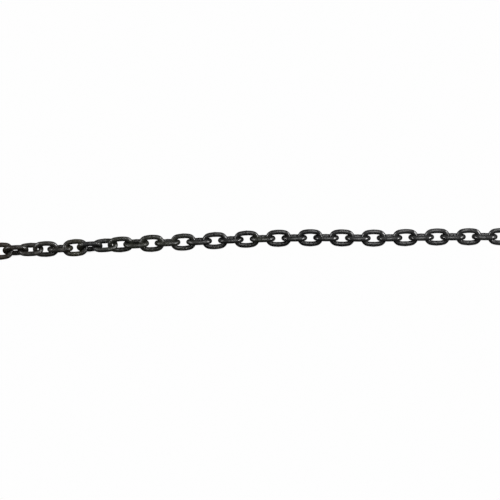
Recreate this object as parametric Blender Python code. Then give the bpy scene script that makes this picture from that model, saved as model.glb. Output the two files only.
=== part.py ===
"""One metre of 8 mm short-link lifting chain, lying along +X on a level floor.

Every link is one closed solid of round steel wire. The links lie rolled a quarter turn against
their neighbours, leaning 45 degrees each way, as a pulled chain comes to rest. A stretch near the
-X end is slack and twisted, so its links lean by other amounts. Metres, +Z up, floor at z = 0.
"""

import math

import bpy
import numpy as np
from mathutils import Matrix, Vector

# One link of 8 mm short-link lifting chain: the wire near the lower end of its tolerance, and the
# inside length at its upper limit. The crowns bend on this radius, and the legs bow out slightly.
WIRE = 0.0078
INSIDE_LENGTH = 0.0264
OUTSIDE_WIDTH = 0.0282
CROWN_RADIUS = 0.0095

# The chain
LINKS = 38
ROOT_LINK = 19
# The clear space that is left between two links' wires where they hang in each other
CLEARANCE = 0.0007

# How the links lie: the taut ones lean 45 degrees one way and the other, and the links from the
# third to the thirteenth carry a slow twist. Each of those is given by the roll of its width above
# the level, in degrees, by how much nearer the next link lies than it could, and by how much the
# pull of the chain lifts it
TAUT_ROLL = 45
FIRST_TWISTED = 3
TWISTED = (
    (-55, 0.0000, 0.0000),
    (22, 0.0000, 0.0000),
    (98, 0.0004, 0.0004),
    (-14, 0.0007, 0.0010),
    (63, 0.0010, 0.0012),
    (-44, 0.0003, 0.0003),
    (24, 0.0010, 0.0000),
    (99, 0.0002, 0.0004),
    (-12, 0.0000, 0.0008),
    (64, 0.0000, 0.0010),
    (-36, 0.0000, 0.0005),
)
# A link that isn't lifted is held up by its neighbours, to this much below them
DROP_PER_LINK = 0.0004

# The chain's course over the floor: how far it strays from its straight line, at even steps
COURSE_STEP = 0.100
COURSE = (-0.0040, -0.0012, 0.0004, 0.0049, 0.0074, 0.0097, 0.0088, 0.0046, 0.0033, 0.0005, -0.0030)

# How the wire is faceted: eight sides, one flat at each crown's apex and at each leg's middle
SIDES = 8
CROWN_SEGMENTS = 9
LEG_SEGMENTS = 3

# How finely two links' middle lines are compared, and how often the pitch between them is halved
FINE_CROWN_SEGMENTS = 160
FINE_LEG_SEGMENTS = 60
PITCH_SEARCH = 0.0040
PITCH_HALVINGS = 12

WIRE_RADIUS = WIRE / 2
HALF_WIDTH = (OUTSIDE_WIDTH - WIRE) / 2
HALF_LENGTH = (INSIDE_LENGTH + WIRE) / 2
# A crown's arc has its centre this far from the link's middle, and a leg's flat arc meets it
# without a kink
CROWN_REACH = HALF_LENGTH - CROWN_RADIUS
LEG_RADIUS = (CROWN_REACH**2 + HALF_WIDTH**2 - CROWN_RADIUS**2) / (2 * (HALF_WIDTH - CROWN_RADIUS))
LEG_ANGLE = math.asin(CROWN_REACH / (LEG_RADIUS - CROWN_RADIUS))
# How far the straight facet in the middle of a leg is from the link's middle
LEG_REACH = HALF_WIDTH - LEG_RADIUS * (1 - math.cos(LEG_ANGLE / LEG_SEGMENTS))
HALF_SIDE_ANGLE = math.pi / SIDES
# The eight-sided wire has the same area as the round one
SECTION_RADIUS = WIRE_RADIUS * math.sqrt(
    HALF_SIDE_ANGLE / (math.sin(HALF_SIDE_ANGLE) * math.cos(HALF_SIDE_ANGLE))
)

STEEL_COLOUR = (0.018, 0.018, 0.017, 1.0)
STEEL_ROUGHNESS = 0.42
STEEL_METALLIC = 0.0
EMPTY_SIZE = 0.01


def clear_scene():
    """Removes what a new Blender file starts with."""
    for old in list(bpy.data.objects):
        bpy.data.objects.remove(old, do_unlink=True)


def black_steel():
    """The steel's thin black finish."""
    material = bpy.data.materials.new("black_steel")
    material.use_nodes = True
    shader = material.node_tree.nodes["Principled BSDF"]
    shader.inputs["Base Color"].default_value = STEEL_COLOUR
    shader.inputs["Roughness"].default_value = STEEL_ROUGHNESS
    shader.inputs["Metallic"].default_value = STEEL_METALLIC
    return material


def arc(centre, radius, middle, half_angle, segments):
    """Corners along an arc about a centre, from one end up to just before the other."""
    step = 2 * half_angle / segments
    angles = [middle - half_angle + k * step for k in range(segments)]
    return [(centre[0] + radius * math.cos(a), centre[1] + radius * math.sin(a)) for a in angles]


def middle_line(crown_segments, leg_segments):
    """The corners of a link's middle line: an oval of two crown arcs and two flat leg arcs."""
    points = []
    for side, turn in ((1, 0.0), (-1, math.pi)):
        crown_centre = (side * CROWN_REACH, 0.0)
        leg_centre = (0.0, side * (HALF_WIDTH - LEG_RADIUS))
        points += arc(crown_centre, CROWN_RADIUS, turn, math.pi / 2 - LEG_ANGLE, crown_segments)
        points += arc(leg_centre, LEG_RADIUS, turn + math.pi / 2, LEG_ANGLE, leg_segments)
    return points


def link_wire(material):
    """A link's wire as a closed curve, long along X and wide along Y."""
    wire = bpy.data.curves.new("link_wire", "CURVE")
    wire.dimensions = "3D"
    wire.twist_mode = "Z_UP"
    wire.fill_mode = "FULL"
    wire.bevel_mode = "ROUND"
    wire.bevel_depth = SECTION_RADIUS
    wire.bevel_resolution = SIDES // 2 - 2
    outline = middle_line(CROWN_SEGMENTS, LEG_SEGMENTS)
    spline = wire.splines.new("POLY")
    spline.points.add(len(outline) - 1)
    for point, (x, y) in zip(spline.points, outline):
        point.co = (x, y, 0.0, 1.0)
        point.tilt = HALF_SIDE_ANGLE
    spline.use_cyclic_u = True
    spline.use_smooth = True
    wire.materials.append(material)
    return wire


def lay_of(number):
    """How link 1 to LINKS lies: its roll in radians, the slack before the next link, and its lift."""
    place = number - FIRST_TWISTED
    if 0 <= place < len(TWISTED):
        roll, slack, lift = TWISTED[place]
        return math.radians(roll), slack, lift
    lean = -TAUT_ROLL if place % 2 == 0 else TAUT_ROLL
    return math.radians(lean), 0.0, 0.0


def half_thickness(roll):
    """How far the faceted wire reaches below its middle line, at this roll."""
    from_corner = (-math.pi / 2 - roll) % (2 * HALF_SIDE_ANGLE) - HALF_SIDE_ANGLE
    return SECTION_RADIUS * math.cos(from_corner)


def resting_height(roll):
    """How high a link's middle is when one of its legs lies on the floor."""
    return LEG_REACH * abs(math.sin(roll)) + half_thickness(roll)


def heights():
    """Each link's height: on the floor or held up by the higher links on either side, and lifted."""
    lays = [lay_of(n) for n in range(1, LINKS + 1)]
    own = [resting_height(roll) for roll, _, _ in lays]
    return [
        max(height - DROP_PER_LINK * abs(i - k) for k, height in enumerate(own)) + lift
        for i, (_, _, lift) in enumerate(lays)
    ]


def course_offset(x):
    """How far the chain strays along Y at x metres from its -X end, on one smooth curve."""
    place = min(max(x / COURSE_STEP, 0.0), len(COURSE) - 1.001)
    k = int(place)
    t = place - k
    before, here = COURSE[max(k - 1, 0)], COURSE[k]
    there, after = COURSE[k + 1], COURSE[min(k + 2, len(COURSE) - 1)]
    leave, arrive = (there - before) / 2, (after - here) / 2
    bend = 2 * (here - there) + leave + arrive
    return here + t * (leave + t * (3 * (there - here) - 2 * leave - arrive + t * bend))


def rolled_half(roll, side):
    """Points along the half of a level link's middle line that lies to +X or -X, rolled about X."""
    flat = np.array(middle_line(FINE_CROWN_SEGMENTS, FINE_LEG_SEGMENTS))
    flat = flat[flat[:, 0] * side >= 0]
    return np.c_[flat[:, 0], flat[:, 1] * math.cos(roll), flat[:, 1] * math.sin(roll)]


def pitch_between(roll, next_roll, rise):
    """The longest distance between two links' middles that leaves the clearance between wires."""
    here, there = rolled_half(roll, 1), rolled_half(next_roll, -1)
    near, far = INSIDE_LENGTH - PITCH_SEARCH, INSIDE_LENGTH
    for _ in range(PITCH_HALVINGS):
        pitch = (near + far) / 2
        apart = here[:, None] - (there + (pitch, 0.0, rise))
        if np.linalg.norm(apart, axis=2).min() < WIRE + CLEARANCE:
            far = pitch
        else:
            near = pitch
    return near


def link_centres():
    """Where each link's middle is, walking along the course from the -X end."""
    high = heights()
    x = HALF_LENGTH + WIRE_RADIUS
    centres = [Vector((x, course_offset(x), high[0]))]
    for n in range(1, LINKS):
        roll, slack, _ = lay_of(n)
        next_roll, _, _ = lay_of(n + 1)
        pitch = pitch_between(roll, next_roll, high[n] - high[n - 1]) - slack
        slope = (course_offset(x + pitch) - course_offset(x)) / pitch
        x += pitch / math.hypot(1.0, slope)
        centres.append(Vector((x, course_offset(x), high[n])))
    return centres


def link_frames():
    """Each link's place as a matrix: X along the chain, Y across the link, Z out of its plane."""
    centres = link_centres()
    frames = []
    for i, centre in enumerate(centres):
        ahead = centres[min(i + 1, LINKS - 1)] - centres[max(i - 1, 0)]
        along = Vector((ahead.x, ahead.y, 0.0)).normalized()
        turn = Matrix.Rotation(math.atan2(along.y, along.x), 4, "Z")
        roll = Matrix.Rotation(lay_of(i + 1)[0], 4, "X")
        frames.append(Matrix.Translation(centre) @ turn @ roll)
    return centred(frames)


def centred(frames):
    """The same frames, moved so that the origin is under the middle of the chain's box."""
    low, high = Vector((math.inf,) * 2), Vector((-math.inf,) * 2)
    for frame in frames:
        for x, y in middle_line(CROWN_SEGMENTS, LEG_SEGMENTS):
            point = frame @ Vector((x, y, 0.0))
            low = Vector((min(low.x, point.x), min(low.y, point.y)))
            high = Vector((max(high.x, point.x), max(high.y, point.y)))
    middle = (low + high) / 2
    shift = Matrix.Translation((-middle.x, -middle.y, 0.0))
    return [shift @ frame for frame in frames]


def swing_frame(parent, child):
    """The hinge of a link in its neighbour's crown: on the neighbour's wire, square to the link."""
    along = parent.to_3x3().col[0]
    across = parent.to_3x3().col[1]
    square = child.to_3x3().col[2]
    apart = child.translation - parent.translation
    way = 1.0 if apart.dot(along) > 0 else -1.0
    level = apart - along * apart.dot(along)
    aside = level.dot(square) / across.dot(square)
    reach = CROWN_REACH + math.sqrt(CROWN_RADIUS**2 - aside**2)
    point = parent.translation + along * (way * reach) + across * aside
    frame = child.to_3x3().to_4x4()
    frame.translation = point
    return frame


def place(item, frame, parent, parent_frame):
    """Puts an object at a world frame, under its parent."""
    item.parent = parent
    item.matrix_basis = parent_frame.inverted() @ frame


def main():
    clear_scene()
    chain = bpy.data.collections.new("lifting_chain")
    bpy.context.scene.collection.children.link(chain)
    wire = link_wire(black_steel())
    frames = link_frames()
    links, hinges = {}, {}
    order = list(range(ROOT_LINK, LINKS + 1)) + list(range(ROOT_LINK - 1, 0, -1))
    for number in order:
        link = bpy.data.objects.new(f"link_{number:02d}", wire)
        chain.objects.link(link)
        links[number] = link
        frame = frames[number - 1]
        if number == ROOT_LINK:
            link.matrix_basis = frame
            hinges[number] = (link, frame)
            continue
        holder = number - 1 if number > ROOT_LINK else number + 1
        hinge_frame = swing_frame(frames[holder - 1], frame)
        hinge = bpy.data.objects.new(f"swing_{number:02d}", None)
        hinge.empty_display_size = EMPTY_SIZE
        chain.objects.link(hinge)
        place(hinge, hinge_frame, *hinges[holder])
        place(link, frame, hinge, hinge_frame)
        hinges[number] = (hinge, hinge_frame)


if __name__ == "__main__":
    main()
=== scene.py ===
"""One metre of black 8 mm short-link lifting chain, dressed for a plain studio picture.

Every link is one round steel wire, bent to an oval and butt welded in one leg, and some links have
plain stamps on the other leg. A plain and a stamped link are modelled once and copied, and each
copy lies where its rigid link does. Metres, +Z up, the chain along +X, the floor at z = 0.
"""

import logging
import math
from collections.abc import Callable
from dataclasses import dataclass, field
from enum import Enum
from typing import Any

import bmesh
import bpy
import numpy as np
from mathutils import Matrix, Vector

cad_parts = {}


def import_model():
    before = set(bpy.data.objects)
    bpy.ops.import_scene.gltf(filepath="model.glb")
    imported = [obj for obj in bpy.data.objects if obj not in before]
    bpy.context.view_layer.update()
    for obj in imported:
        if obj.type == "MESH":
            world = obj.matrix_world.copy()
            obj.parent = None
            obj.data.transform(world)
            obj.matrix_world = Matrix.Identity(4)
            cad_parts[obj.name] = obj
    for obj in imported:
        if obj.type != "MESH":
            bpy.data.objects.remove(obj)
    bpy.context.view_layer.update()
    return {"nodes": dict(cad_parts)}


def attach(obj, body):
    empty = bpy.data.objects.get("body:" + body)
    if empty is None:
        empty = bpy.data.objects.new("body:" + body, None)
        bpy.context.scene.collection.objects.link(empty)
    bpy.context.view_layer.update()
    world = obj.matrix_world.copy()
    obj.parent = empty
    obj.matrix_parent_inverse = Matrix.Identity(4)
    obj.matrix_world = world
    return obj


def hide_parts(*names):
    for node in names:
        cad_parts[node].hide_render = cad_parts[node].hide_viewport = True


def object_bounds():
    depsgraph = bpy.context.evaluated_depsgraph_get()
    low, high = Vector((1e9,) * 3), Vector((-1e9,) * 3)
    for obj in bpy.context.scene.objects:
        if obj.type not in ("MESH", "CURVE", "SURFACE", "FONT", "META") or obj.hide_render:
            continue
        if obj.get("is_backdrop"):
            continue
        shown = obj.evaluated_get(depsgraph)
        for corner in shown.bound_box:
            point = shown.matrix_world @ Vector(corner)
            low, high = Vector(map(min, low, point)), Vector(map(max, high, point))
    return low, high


LOG = logging.getLogger("lifting_chain")
MM = 0.001
# The name of the attribute that says how rubbed a corner of a link is, from zero to one
WORN = "worn"
# Some of a Mix node's inputs share a name, so they are given by number: the factor, those that take
# two plain numbers, and those that take two colours, with the output that gives the mixed colour
FACTOR, NUMBER_A, NUMBER_B = 0, 2, 3
COLOUR_A, COLOUR_B, MIXED_COLOUR = 6, 7, 2


def linear(code: str) -> tuple[float, float, float, float]:
    """Turns an sRGB hex colour into the linear colour that a shader takes.

    Args:
        code: Six hex digits, such as "2A2B29".

    Returns:
        Red, green, blue and an alpha of one.
    """
    parts = [int(code[i : i + 2], 16) / 255 for i in (0, 2, 4)]
    red, green, blue = (c / 12.92 if c <= 0.04045 else ((c + 0.055) / 1.055) ** 2.4 for c in parts)
    return (red, green, blue, 1.0)


def add_node(
    tree: bpy.types.NodeTree,
    kind: str,
    settings: dict[str | int, Any] | None = None,
    links: dict[str | int, bpy.types.NodeSocket] | None = None,
) -> bpy.types.Node:
    """Adds one node to a tree, with its settings and its incoming links.

    Args:
        tree: The material's or world's node tree.
        kind: The node's type name.
        settings: Properties of the node by name, or values of its inputs by name or number.
        links: The output that each named or numbered input reads.

    Returns:
        The new node.
    """
    made = tree.nodes.new(kind)
    for name, value in (settings or {}).items():
        if isinstance(name, str) and hasattr(made, name):
            setattr(made, name, value)
        else:
            made.inputs[name].default_value = value
    for name, source in (links or {}).items():
        tree.links.new(source, made.inputs[name])
    return made


def only(thing: bpy.types.Object) -> None:
    """Makes one object the active one and the only one selected."""
    bpy.ops.object.select_all(action="DESELECT")
    thing.select_set(True)
    bpy.context.view_layer.objects.active = thing


class Pick(Enum):
    """What is selected in edit mode."""

    FACES = "FACE"
    CORNERS = "VERT"


def pick(thing: bpy.types.Object, what: Pick, wanted: Callable[[Vector], bool]) -> int:
    """Selects faces or corners in edit mode by their place.

    Args:
        thing: The object that is in edit mode.
        what: Whether faces or corners are selected.
        wanted: Says of a face's middle, or of a corner's place, whether it is selected.

    Returns:
        How many were selected.
    """
    bpy.ops.mesh.select_mode(type=what.value)
    bpy.ops.mesh.select_all(action="DESELECT")
    body = bmesh.from_edit_mesh(thing.data)
    if what is Pick.FACES:
        found = [face for face in body.faces if wanted(face.calc_center_median())]
    else:
        found = [corner for corner in body.verts if wanted(corner.co)]
    for item in found:
        item.select_set(True)
    body.select_flush_mode()
    bmesh.update_edit_mesh(thing.data)
    return len(found)


class Lie(Enum):
    """Which way a laid link is turned in its own plane."""

    WELD_LOW = 1
    WELD_HIGH = -1


class Tint(Enum):
    """The oxide's colours, nearly black, as sRGB hex codes."""

    BROWN = "1E1913"
    UMBER = "1F1D19"
    OLIVE = "242318"
    INK = "19191A"
    GREEN = "21221C"
    BLACK = "161616"
    GREY = "232323"


@dataclass(frozen=True)
class BlackOxideSteel:
    """Quenched and tempered chain steel, black from its heat treatment and thinly oiled.

    The oxide skin is nearly black and satin. It is slightly brown where it is thin and slightly
    green where the oil is thick, and it is rubbed brighter where links bear and on raised marks.
    The skin isn't bare metal, so it has the IOR of the oil on it and no metallic value.
    """

    ior: float = 1.5
    metallic: float = 0.0
    # Where the tints are along the chain, in metres: between two places one turns into the next
    tints: tuple[tuple[float, Tint], ...] = (
        (-0.375, Tint.BROWN),
        (-0.350, Tint.UMBER),
        (-0.285, Tint.UMBER),
        (-0.277, Tint.OLIVE),
        (-0.264, Tint.OLIVE),
        (-0.256, Tint.INK),
        (-0.243, Tint.INK),
        (-0.215, Tint.GREEN),
        (-0.125, Tint.GREEN),
        (-0.065, Tint.BLACK),
        (0.012, Tint.BLACK),
        (0.022, Tint.GREEN),
        (0.034, Tint.GREEN),
        (0.044, Tint.BLACK),
        (0.120, Tint.BLACK),
        (0.220, Tint.GREY),
    )
    # The band of tints reaches this far to each side of the chain's middle
    band_reach: float = 0.5
    rubbed: str = "66635B"
    dust: str = "2F2D27"

    roughness: float = 0.32
    oiled_roughness: float = 0.18
    rubbed_roughness: float = 0.30
    dusty_roughness: float = 0.62
    # How much more or less satin the skin is from place to place
    satin_spread: float = 0.08

    # The oil lies thicker towards the +X end, and there it smooths the skin to this much relief
    oiled_from: float = -0.15
    oiled_to: float = 0.25
    oiled_relief: float = 0.20

    # The size of each pattern's features, and how finely it is broken up. The dust and the scale
    # are really about 0.1 mm fine, and are drawn as coarse as they need to be to show
    blotch: float = 7.0 * MM
    blotch_detail: float = 3.0
    forge_grain: float = 4.4 * MM
    forge_detail: float = 2.0
    dust_grain: float = 2.4 * MM
    dust_detail: float = 4.0
    scale_grain: float = 0.7 * MM
    scale_detail: float = 2.0
    # How high the patterns' relief is, with the forged wire's drawn high enough to show
    forge_relief: float = 1.0 * MM
    scale_relief: float = 0.08 * MM

    # A noise lies mostly in the middle of its range, so each use of one names the part that counts.
    # Here the blotches shade the oxide from half to one and a half times its colour
    shade_span: tuple[float, float] = (0.3, 0.7)
    shade_range: tuple[float, float] = (0.5, 1.5)
    satin_span: tuple[float, float] = (0.38, 0.62)
    # The forged wire's low places are rubbed less than its high ones, down to the first share
    rubbed_span: tuple[float, float] = (0.40, 0.60)
    rubbed_range: tuple[float, float] = (0.35, 1.0)
    # Specks of dust: where the noise starts to show one, where it is whole, and how dense it is
    speck_span: tuple[float, float] = (0.58, 0.76)
    speck_density: float = 0.7

    def material(self) -> bpy.types.Material:
        """Makes the finish.

        Returns:
            The material, on Object coordinates and the links' own wear attribute.
        """
        made = bpy.data.materials.new("black_oxide_steel")
        made.use_nodes = True
        tree = made.node_tree
        place = add_node(tree, "ShaderNodeTexCoord").outputs["Object"]
        along = add_node(tree, "ShaderNodeSeparateXYZ", links={"Vector": place}).outputs["X"]
        blotches, forged, dusted, scaled = (
            add_node(
                tree, "ShaderNodeTexNoise", {"Scale": 1 / size, "Detail": detail}, {"Vector": place}
            ).outputs["Fac"]
            for size, detail in (
                (self.blotch, self.blotch_detail),
                (self.forge_grain, self.forge_detail),
                (self.dust_grain, self.dust_detail),
                (self.scale_grain, self.scale_detail),
            )
        )
        oiled = add_node(
            tree,
            "ShaderNodeMapRange",
            {"From Min": self.oiled_from, "From Max": self.oiled_to},
            {"Value": along},
        ).outputs["Result"]
        bare = self._rubbing(tree, forged)
        speck = add_node(
            tree,
            "ShaderNodeMapRange",
            {"From Min": self.speck_span[0], "From Max": self.speck_span[1], "To Max": self.speck_density},
            {"Value": dusted},
        ).outputs["Result"]

        shader = tree.nodes["Principled BSDF"]
        tree.links.new(self._colour(tree, along, blotches, bare, speck), shader.inputs["Base Color"])
        tree.links.new(self._satin(tree, blotches, oiled, bare, speck), shader.inputs["Roughness"])
        tree.links.new(self._relief(tree, forged, scaled, oiled), shader.inputs["Normal"])
        shader.inputs["IOR"].default_value = self.ior
        shader.inputs["Metallic"].default_value = self.metallic
        return made

    def _tint(self, tree: bpy.types.NodeTree, along: bpy.types.NodeSocket) -> bpy.types.NodeSocket:
        """The oxide's own colour, which changes slowly from one end of the chain to the other.

        Args:
            tree: The material's node tree.
            along: How far along the chain a point is, in metres.

        Returns:
            A colour output.
        """
        share = add_node(
            tree,
            "ShaderNodeMapRange",
            {"From Min": -self.band_reach, "From Max": self.band_reach},
            {"Value": along},
        ).outputs["Result"]
        ramp = add_node(tree, "ShaderNodeValToRGB", links={"Fac": share})
        band = ramp.color_ramp.elements
        while len(band) < len(self.tints):
            band.new(1.0)
        for stop, (where, tint) in zip(band, self.tints):
            stop.position = (where + self.band_reach) / (2 * self.band_reach)
            stop.color = linear(tint.value)
        return ramp.outputs["Color"]

    def _rubbing(self, tree: bpy.types.NodeTree, forged: bpy.types.NodeSocket) -> bpy.types.NodeSocket:
        """How bare the steel is where it is rubbed, broken up by the forged wire's low places.

        Args:
            tree: The material's node tree.
            forged: The forged wire's noise.

        Returns:
            A number output, from zero to one.
        """
        wear = add_node(tree, "ShaderNodeAttribute", {"attribute_name": WORN}).outputs["Fac"]
        broken = add_node(
            tree,
            "ShaderNodeMapRange",
            {
                "From Min": self.rubbed_span[0],
                "From Max": self.rubbed_span[1],
                "To Min": self.rubbed_range[0],
                "To Max": self.rubbed_range[1],
            },
            {"Value": forged},
        ).outputs["Result"]
        rubbing = add_node(tree, "ShaderNodeMath", {"operation": "MULTIPLY"}, {0: wear, 1: broken})
        return rubbing.outputs["Value"]

    def _colour(
        self,
        tree: bpy.types.NodeTree,
        along: bpy.types.NodeSocket,
        blotches: bpy.types.NodeSocket,
        bare: bpy.types.NodeSocket,
        speck: bpy.types.NodeSocket,
    ) -> bpy.types.NodeSocket:
        """The oxide's blotchy colour, with rubbed steel and specks of dry dust over it.

        Args:
            tree: The material's node tree.
            along: How far along the chain a point is, in metres.
            blotches: The oxide's noise.
            bare: How bare the steel is.
            speck: How dusty the skin is.

        Returns:
            A colour output.
        """
        shade = add_node(
            tree,
            "ShaderNodeMapRange",
            {
                "From Min": self.shade_span[0],
                "From Max": self.shade_span[1],
                "To Min": self.shade_range[0],
                "To Max": self.shade_range[1],
            },
            {"Value": blotches},
        ).outputs["Result"]
        oxide = add_node(
            tree,
            "ShaderNodeMix",
            {"data_type": "RGBA", "blend_type": "MULTIPLY", FACTOR: 1.0},
            {COLOUR_A: self._tint(tree, along), COLOUR_B: shade},
        ).outputs[MIXED_COLOUR]
        rubbed = add_node(
            tree,
            "ShaderNodeMix",
            {"data_type": "RGBA", COLOUR_B: linear(self.rubbed)},
            {FACTOR: bare, COLOUR_A: oxide},
        ).outputs[MIXED_COLOUR]
        return add_node(
            tree,
            "ShaderNodeMix",
            {"data_type": "RGBA", COLOUR_B: linear(self.dust)},
            {FACTOR: speck, COLOUR_A: rubbed},
        ).outputs[MIXED_COLOUR]

    def _satin(
        self,
        tree: bpy.types.NodeTree,
        blotches: bpy.types.NodeSocket,
        oiled: bpy.types.NodeSocket,
        bare: bpy.types.NodeSocket,
        speck: bpy.types.NodeSocket,
    ) -> bpy.types.NodeSocket:
        """The roughness: glossier where the skin is oiled, and matt where it is dusty.

        Args:
            tree: The material's node tree.
            blotches: The oxide's noise.
            oiled: How thick the oil is.
            bare: How bare the steel is.
            speck: How dusty the skin is.

        Returns:
            A number output.
        """
        spread = add_node(
            tree,
            "ShaderNodeMapRange",
            {
                "From Min": self.satin_span[0],
                "From Max": self.satin_span[1],
                "To Min": -self.satin_spread,
                "To Max": self.satin_spread,
            },
            {"Value": blotches},
        ).outputs["Result"]
        level = add_node(
            tree,
            "ShaderNodeMapRange",
            {"To Min": self.roughness, "To Max": self.oiled_roughness},
            {"Value": oiled},
        ).outputs["Result"]
        skin = add_node(tree, "ShaderNodeMath", {"operation": "ADD"}, {0: level, 1: spread})
        rubbed = add_node(
            tree,
            "ShaderNodeMix",
            {"data_type": "FLOAT", NUMBER_B: self.rubbed_roughness},
            {FACTOR: bare, NUMBER_A: skin.outputs["Value"]},
        ).outputs["Result"]
        return add_node(
            tree,
            "ShaderNodeMix",
            {"data_type": "FLOAT", NUMBER_B: self.dusty_roughness},
            {FACTOR: speck, NUMBER_A: rubbed},
        ).outputs["Result"]

    def _relief(
        self,
        tree: bpy.types.NodeTree,
        forged: bpy.types.NodeSocket,
        scaled: bpy.types.NodeSocket,
        oiled: bpy.types.NodeSocket,
    ) -> bpy.types.NodeSocket:
        """The uneven forged wire and the fine grain of the scale on it.

        Args:
            tree: The material's node tree.
            forged: The forged wire's noise.
            scaled: The scale's noise.
            oiled: How thick the oil is, which fills the forged wire's low places.

        Returns:
            A normal output.
        """
        strength = add_node(
            tree, "ShaderNodeMapRange", {"To Min": 1.0, "To Max": self.oiled_relief}, {"Value": oiled}
        ).outputs["Result"]
        uneven = add_node(
            tree,
            "ShaderNodeBump",
            {"Distance": self.forge_relief},
            {"Height": forged, "Strength": strength},
        ).outputs["Normal"]
        return add_node(
            tree,
            "ShaderNodeBump",
            {"Strength": 1.0, "Distance": self.scale_relief},
            {"Height": scaled, "Normal": uneven},
        ).outputs["Normal"]


@dataclass
class LinkPattern:
    """One link at its real size, long along X and wide along Y, with its middle at the origin.

    Its middle line is an oval of four arcs, because the legs of a forged link bow out slightly.
    The weld is in the leg on the -Y side. A marked link has plain stamps on the +Z face of the other.
    """

    wire: float = 7.8 * MM
    half_length: float = 17.1 * MM
    half_width: float = 10.2 * MM
    crown_radius: float = 9.5 * MM
    sides: int = 32
    flank_steps: int = 13
    crown_steps: int = 16
    join_distance: float = 0.01 * MM

    collar_rise: float = 0.22 * MM
    collar_reach: float = 3.0 * MM

    marked: bool = False
    # Which pairs of rings along the leg have a mark, bars and pairs of dots by turns
    mark_columns: tuple[int, ...] = (-3, -1, 1, 3)
    mark_rise: float = 0.32 * MM
    mark_slope: float = 0.32 * MM
    # A mark's side in two steps, each with its shares of the slope and of the rise: a steep one
    # and then a shallow one, as a worn stamp leaves
    mark_steps: tuple[tuple[float, float], ...] = ((0.3, 0.7), (0.7, 0.3))
    # How rubbed a mark is, and the share of the rise from which a corner counts as on its top
    mark_wear: float = 0.8
    mark_top: float = 0.4

    # The crown's inside is rubbed within this distance of the point that bears
    bearing_reach: float = 4.2 * MM

    @property
    def flank_radius(self) -> float:
        """The radius of the legs' middle line, which meets the crowns' without a kink."""
        reach = self.half_length - self.crown_radius
        squares = reach**2 + self.half_width**2 - self.crown_radius**2
        return squares / (2 * (self.half_width - self.crown_radius))

    @property
    def flank_angle(self) -> float:
        """How far the leg's arc turns from its middle to where the crown starts."""
        reach = self.half_length - self.crown_radius
        return math.asin(reach / (self.flank_radius - self.crown_radius))

    @property
    def step_length(self) -> float:
        """The length of one ring of faces along the leg's middle line."""
        return self.flank_radius * self.flank_angle / self.flank_steps

    def build(self) -> bpy.types.Object:
        """Models the link.

        Returns:
            The link as one closed mesh, at the origin.
        """
        link = self._bend_quarter()
        self._close(link)
        self._swell_weld(link)
        if self.marked:
            self._stamp_marks(link)
        bpy.ops.object.mode_set(mode="OBJECT")
        self._note_wear(link)
        bpy.ops.object.shade_smooth()
        return link

    def _bend_quarter(self) -> bpy.types.Object:
        """Starts a ring at the leg's middle and spins it along the leg and half of the crown.

        Returns:
            A quarter of the link, in edit mode.
        """
        bpy.ops.object.select_all(action="DESELECT")
        bpy.ops.mesh.primitive_circle_add(
            vertices=self.sides,
            radius=self.wire / 2,
            fill_type="NOTHING",
            location=(0.0, self.half_width, 0.0),
            rotation=(0.0, math.pi / 2, 0.0),
        )
        link = bpy.context.object
        only(link)
        bpy.ops.object.transform_apply(location=True, rotation=True, scale=True)
        bpy.ops.object.mode_set(mode="EDIT")
        bpy.ops.mesh.select_all(action="SELECT")
        leg_centre = (0.0, self.half_width - self.flank_radius, 0.0)
        crown_centre = (self.half_length - self.crown_radius, 0.0, 0.0)
        bends = (
            (self.flank_steps, self.flank_angle, leg_centre),
            (self.crown_steps, math.pi / 2 - self.flank_angle, crown_centre),
        )
        for steps, angle, centre in bends:
            bpy.ops.mesh.spin(steps=steps, angle=angle, center=centre, axis=(0.0, 0.0, 1.0))
        return link

    def _close(self, link: bpy.types.Object) -> None:
        """Mirrors the quarter into a whole link and joins it.

        Args:
            link: The quarter, in edit mode.
        """
        bpy.ops.object.mode_set(mode="OBJECT")
        bpy.ops.object.modifier_add(type="MIRROR")
        mirror = link.modifiers[-1]
        mirror.use_axis = (True, True, False)
        mirror.merge_threshold = self.join_distance
        bpy.ops.object.modifier_apply(modifier=mirror.name)
        bpy.ops.object.mode_set(mode="EDIT")
        bpy.ops.mesh.select_all(action="SELECT")
        bpy.ops.mesh.remove_doubles(threshold=self.join_distance)
        bpy.ops.mesh.normals_make_consistent(inside=False)

    def _swell_weld(self, link: bpy.types.Object) -> None:
        """Swells the middle of the -Y leg into the low collar that the butt weld leaves.

        Args:
            link: The link, in edit mode.
        """
        near = self.step_length / 2
        pick(link, Pick.CORNERS, lambda place: abs(place.x) < near and place.y < 0.0)
        bpy.ops.transform.shrink_fatten(
            value=self.collar_rise,
            use_proportional_edit=True,
            proportional_edit_falloff="SMOOTH",
            proportional_size=self.collar_reach,
        )

    def _stamp_marks(self, link: bpy.types.Object) -> None:
        """Raises a row of plain bars and pairs of dots along the +Z face of the +Y leg.

        Args:
            link: The link, in edit mode.
        """
        ring = self.step_length
        side = math.pi * self.wire / self.sides
        for number, column in enumerate(self.mark_columns):
            middle = 2 * column * ring
            inner = side if number % 2 else 0.0

            def on_mark(place: Vector) -> bool:
                """Is this face in the bar or the two dots of this column?"""
                aside = abs(place.y - self.half_width)
                return place.z > 0.0 and abs(place.x - middle) < ring and inner < aside < 2 * side

            if pick(link, Pick.FACES, on_mark):
                for across, up in self.mark_steps:
                    bpy.ops.mesh.inset(thickness=across * self.mark_slope, depth=up * self.mark_rise)

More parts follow.
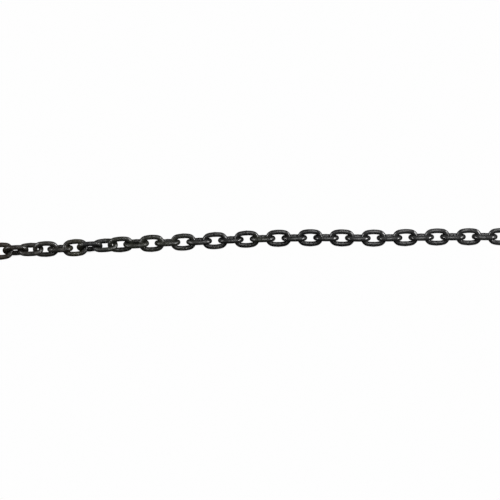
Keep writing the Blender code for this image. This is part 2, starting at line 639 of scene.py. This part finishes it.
    def _note_wear(self, link: bpy.types.Object) -> None:
        """Writes how rubbed each corner is: inside the crowns, and on top of the marks.

        Args:
            link: The link, in object mode.
        """
        places = np.empty(len(link.data.vertices) * 3)
        link.data.vertices.foreach_get("co", places)
        places = places.reshape(-1, 3)
        bearing = np.array([self.half_length - self.wire / 2, 0.0, 0.0])
        apart = np.linalg.norm(np.abs(places) - bearing, axis=1)
        worn = np.clip(1.0 - apart / self.bearing_reach, 0.0, 1.0)
        above_wire = places[:, 2] > self.wire / 2 + self.mark_rise * self.mark_top
        on_mark = above_wire & (places[:, 1] > 0.0)
        worn = np.maximum(worn, on_mark * self.mark_wear)
        attribute = link.data.attributes.new(WORN, "FLOAT", "POINT")
        attribute.data.foreach_set("value", worn.astype(np.float32))


@dataclass
class LaidChain:
    """The whole chain: a link of the pattern in the place of every rigid link."""

    nodes: dict[str, bpy.types.Object]
    finish: BlackOxideSteel = field(default_factory=BlackOxideSteel)
    # The links with stamps, which lie with their weld up and the stamps below
    marked: tuple[str, ...] = ("link_09", "link_16", "link_18", "link_20")
    unevenness: float = 0.20 * MM
    uneven_size: float = 5.0 * MM
    # Corners of a rigid link that agree to this many decimals of a metre are the same one
    corner_decimals: int = 6

    def build(self) -> list[bpy.types.Object]:
        """Makes every link.

        Returns:
            The links, in order along the chain.
        """
        skin = self.finish.material()
        plain, stamped = LinkPattern().build(), LinkPattern(marked=True).build()
        pieces = []
        for name in sorted(self.nodes):
            first = stamped if name in self.marked else plain
            pieces.append(self._hang_link(first, name, skin))
        for first in (plain, stamped):
            bpy.data.objects.remove(first, do_unlink=True)
        return pieces

    def _lie_of(self, name: str) -> Lie:
        """Which way this link is turned."""
        return Lie.WELD_HIGH if name in self.marked else Lie.WELD_LOW

    def _place_of(self, name: str) -> Matrix:
        """Finds how a rigid link lies, from its own corners.

        Args:
            name: The rigid link's name.

        Returns:
            The link's place: X along it, Y across it away from its weld, and Z out of its plane.
        """
        mesh = self.nodes[name].data
        corners = np.empty(len(mesh.vertices) * 3)
        mesh.vertices.foreach_get("co", corners)
        corners = np.unique(np.round(corners.reshape(-1, 3), self.corner_decimals), axis=0)
        middle = corners.mean(axis=0)
        # The corners spread least out of the link's plane, more across it and most along it
        axes = np.linalg.eigh(np.cov((corners - middle).T))[1]
        along, across = Vector(axes[:, 2]), Vector(axes[:, 1])
        way = self._lie_of(name).value
        along *= math.copysign(1.0, along.x) * way
        across *= math.copysign(1.0, across.z) * way
        place = Matrix((along, across, along.cross(across))).transposed().to_4x4()
        place.translation = Vector(middle)
        return place

    def _hang_link(self, first: bpy.types.Object, name: str, skin: bpy.types.Material) -> bpy.types.Object:
        """Copies the link that was modelled into the place of one rigid link.

        Args:
            first: The modelled link.
            name: The rigid link's name.
            skin: The finish.

        Returns:
            The copy, with a mesh of its own, riding on the rigid link.
        """
        piece = first.copy()
        piece.data = first.data.copy()
        piece.name = name.replace("link", "chain_link")
        piece.data.name = piece.name
        bpy.context.scene.collection.objects.link(piece)
        piece.matrix_world = self._place_of(name)
        only(piece)
        bpy.ops.object.transform_apply(location=True, rotation=True, scale=True)
        self._make_uneven(piece)
        piece.data.materials.clear()
        piece.data.materials.append(skin)
        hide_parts(name)
        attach(piece, name)
        return piece

    def _make_uneven(self, piece: bpy.types.Object) -> None:
        """Makes a placed link slightly uneven, each one in its own way.

        Args:
            piece: The placed link, with its place in its mesh.
        """
        clouds = bpy.data.textures.get("forging") or bpy.data.textures.new("forging", "CLOUDS")
        clouds.noise_scale = self.uneven_size
        bpy.ops.object.modifier_add(type="DISPLACE")
        displace = piece.modifiers[-1]
        displace.texture = clouds
        displace.texture_coords = "GLOBAL"
        displace.strength = self.unevenness
        bpy.ops.object.modifier_apply(modifier=displace.name)


@dataclass(frozen=True)
class LightTableAcrylic:
    """White opal acrylic, evenly lit from behind, as in a product photographer's light table.

    It is so bright that it looks plain white, and close under the chain its glow is dimmed by a painted
    contact shadow.
    """

    glow: float = 0.99
    painted_shadow_glow: float = 0.30
    # The painted shadow counts what stands within this reach, from where it is deepest to where it ends
    painted_shadow_reach: float = 15.0 * MM
    shade_span: tuple[float, float] = (0.05, 0.40)
    painted_shadow_samples: int = 16

    def material(self) -> bpy.types.Material:
        """Makes the finish.

        Returns:
            The material, which glows and reflects nothing.
        """
        made = bpy.data.materials.new("light_table_acrylic")
        made.use_nodes = True
        tree = made.node_tree
        # Painted shadow: the glow is dimmed wherever the chain stands close over the floor
        openness = add_node(
            tree,
            "ShaderNodeAmbientOcclusion",
            {"samples": self.painted_shadow_samples, "Distance": self.painted_shadow_reach},
        ).outputs["AO"]
        glow = add_node(
            tree,
            "ShaderNodeMapRange",
            {
                "From Min": self.shade_span[0],
                "From Max": self.shade_span[1],
                "To Min": self.painted_shadow_glow,
                "To Max": self.glow,
            },
            {"Value": openness},
        ).outputs["Result"]
        shader = tree.nodes["Principled BSDF"]
        shader.inputs["Base Color"].default_value = linear("000000")
        shader.inputs["Specular IOR Level"].default_value = 0.0
        shader.inputs["Emission Color"].default_value = linear("FFFFFF")
        tree.links.new(glow, shader.inputs["Emission Strength"])
        return made


@dataclass(frozen=True)
class LightTent:
    """White cloth all round, lit from above and dim at the sides and below."""

    glow_above: float = 0.27
    glow_below: float = 0.018
    # The heights between which the glow changes, as the upward part of a direction
    rise: tuple[float, float] = (-0.10, 0.75)

    def world(self) -> bpy.types.World:
        """Makes the surround.

        Returns:
            The world, whose glow depends on how far up a direction points.
        """
        made = bpy.data.worlds.new("light_tent")
        made.use_nodes = True
        tree = made.node_tree
        direction = add_node(tree, "ShaderNodeTexCoord").outputs["Generated"]
        height = add_node(tree, "ShaderNodeSeparateXYZ", links={"Vector": direction}).outputs["Z"]
        glow = add_node(
            tree,
            "ShaderNodeMapRange",
            {
                "interpolation_type": "SMOOTHSTEP",
                "From Min": self.rise[0],
                "From Max": self.rise[1],
                "To Min": self.glow_below,
                "To Max": self.glow_above,
            },
            {"Value": height},
        ).outputs["Result"]
        background = tree.nodes["Background"]
        background.inputs["Color"].default_value = linear("FFFFFF")
        tree.links.new(glow, background.inputs["Strength"])
        return made


@dataclass(frozen=True)
class SoftLight:
    """One rectangular soft light that points at the middle of the chain, in metres and watts."""

    name: str
    place: tuple[float, float, float]
    size: tuple[float, float]
    power: float

    def hang(self) -> None:
        """Hangs the light in the studio, out of the camera's sight."""
        lamp = bpy.data.lights.new(self.name, "AREA")
        lamp.shape = "RECTANGLE"
        lamp.size, lamp.size_y = self.size
        lamp.energy = self.power
        light = bpy.data.objects.new(self.name, lamp)
        bpy.context.scene.collection.objects.link(light)
        light.location = self.place
        light.rotation_euler = (-Vector(self.place)).to_track_quat("-Z", "Y").to_euler()
        light.visible_camera = False


@dataclass
class Studio:
    """A plain white floor, soft light from above and both ends, and a long lens."""

    lights: tuple[SoftLight, ...] = (
        SoftLight("overhead", (0.35, -0.05, 1.78), (2.0, 0.40), 12.5),
        SoftLight("right_side", (2.0, 0.0, 1.4), (1.7, 0.45), 78.0),
        SoftLight("left_side", (-2.0, 0.0, 1.4), (1.7, 0.55), 42.0),
    )
    tent: LightTent = field(default_factory=LightTent)
    floor_finish: LightTableAcrylic = field(default_factory=LightTableAcrylic)
    floor_radius: float = 30.0
    rim_height: float = 12.0
    rim_corners: int = 64
    lens: float = 150.0
    # The picture's angle in degrees: how far the camera looks down, and is turned from square
    camera_elevation: float = 57.0
    camera_turn: float = 2.00
    camera_distance: float = 3.361
    aim: tuple[float, float, float] = (0.01024, -0.0145, 0.011)

    def build(self, lowest: float) -> None:
        """Makes the camera, the lights and the floor.

        Args:
            lowest: How high the underside of the chain is.
        """
        self._set_camera()
        bpy.context.scene.world = self.tent.world()
        for light in self.lights:
            light.hang()
        self._lay_floor(lowest)
        bpy.context.scene.view_settings.view_transform = "Standard"

    def _set_camera(self) -> None:
        """Places the camera as the photographer stood: above the chain, nearly square to it."""
        rise, turn = math.radians(self.camera_elevation), math.radians(self.camera_turn)
        level = math.cos(rise)
        back = Vector((-math.sin(turn) * level, -math.cos(turn) * level, math.sin(rise)))
        lens = bpy.data.cameras.new("camera")
        lens.lens = self.lens
        camera = bpy.data.objects.new("camera", lens)
        bpy.context.scene.collection.objects.link(camera)
        camera.location = Vector(self.aim) + back * self.camera_distance
        camera.rotation_euler = (-back).to_track_quat("-Z", "Y").to_euler()
        bpy.context.scene.camera = camera

    def _lay_floor(self, lowest: float) -> None:
        """Lays the floor under the chain, with a raised rim far out in the place of a wall.

        Args:
            lowest: How high the underside of the chain is.
        """
        bpy.ops.object.select_all(action="DESELECT")
        bpy.ops.mesh.primitive_circle_add(
            vertices=self.rim_corners,
            radius=self.floor_radius,
            fill_type="NGON",
            location=(0.0, 0.0, min(lowest, 0.0)),
        )
        floor = bpy.context.object
        floor.name = "floor"
        only(floor)
        bpy.ops.object.transform_apply(location=True, rotation=True, scale=True)
        bpy.ops.object.mode_set(mode="EDIT")
        bpy.ops.mesh.select_all(action="SELECT")
        bpy.ops.mesh.region_to_loop()
        bpy.ops.mesh.extrude_edges_move(TRANSFORM_OT_translate={"value": (0.0, 0.0, self.rim_height)})
        bpy.ops.object.mode_set(mode="OBJECT")
        floor.data.materials.append(self.floor_finish.material())
        # The tent's own lower half lights the chain from below, in the floor's stead
        floor.visible_diffuse = False
        floor.visible_glossy = False
        floor.visible_shadow = False
        floor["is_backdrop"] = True


def main() -> None:
    """Loads the frame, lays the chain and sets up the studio."""
    logging.basicConfig(level=logging.INFO, format="%(name)s: %(message)s")
    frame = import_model()
    pieces = LaidChain(nodes=frame["nodes"]).build()
    for piece in pieces:
        mesh = piece.data
        LOG.info("%s: %d corners, %d faces", piece.name, len(mesh.vertices), len(mesh.polygons))
    lowest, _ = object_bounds()
    Studio().build(lowest.z)


if __name__ == "__main__":
    main()
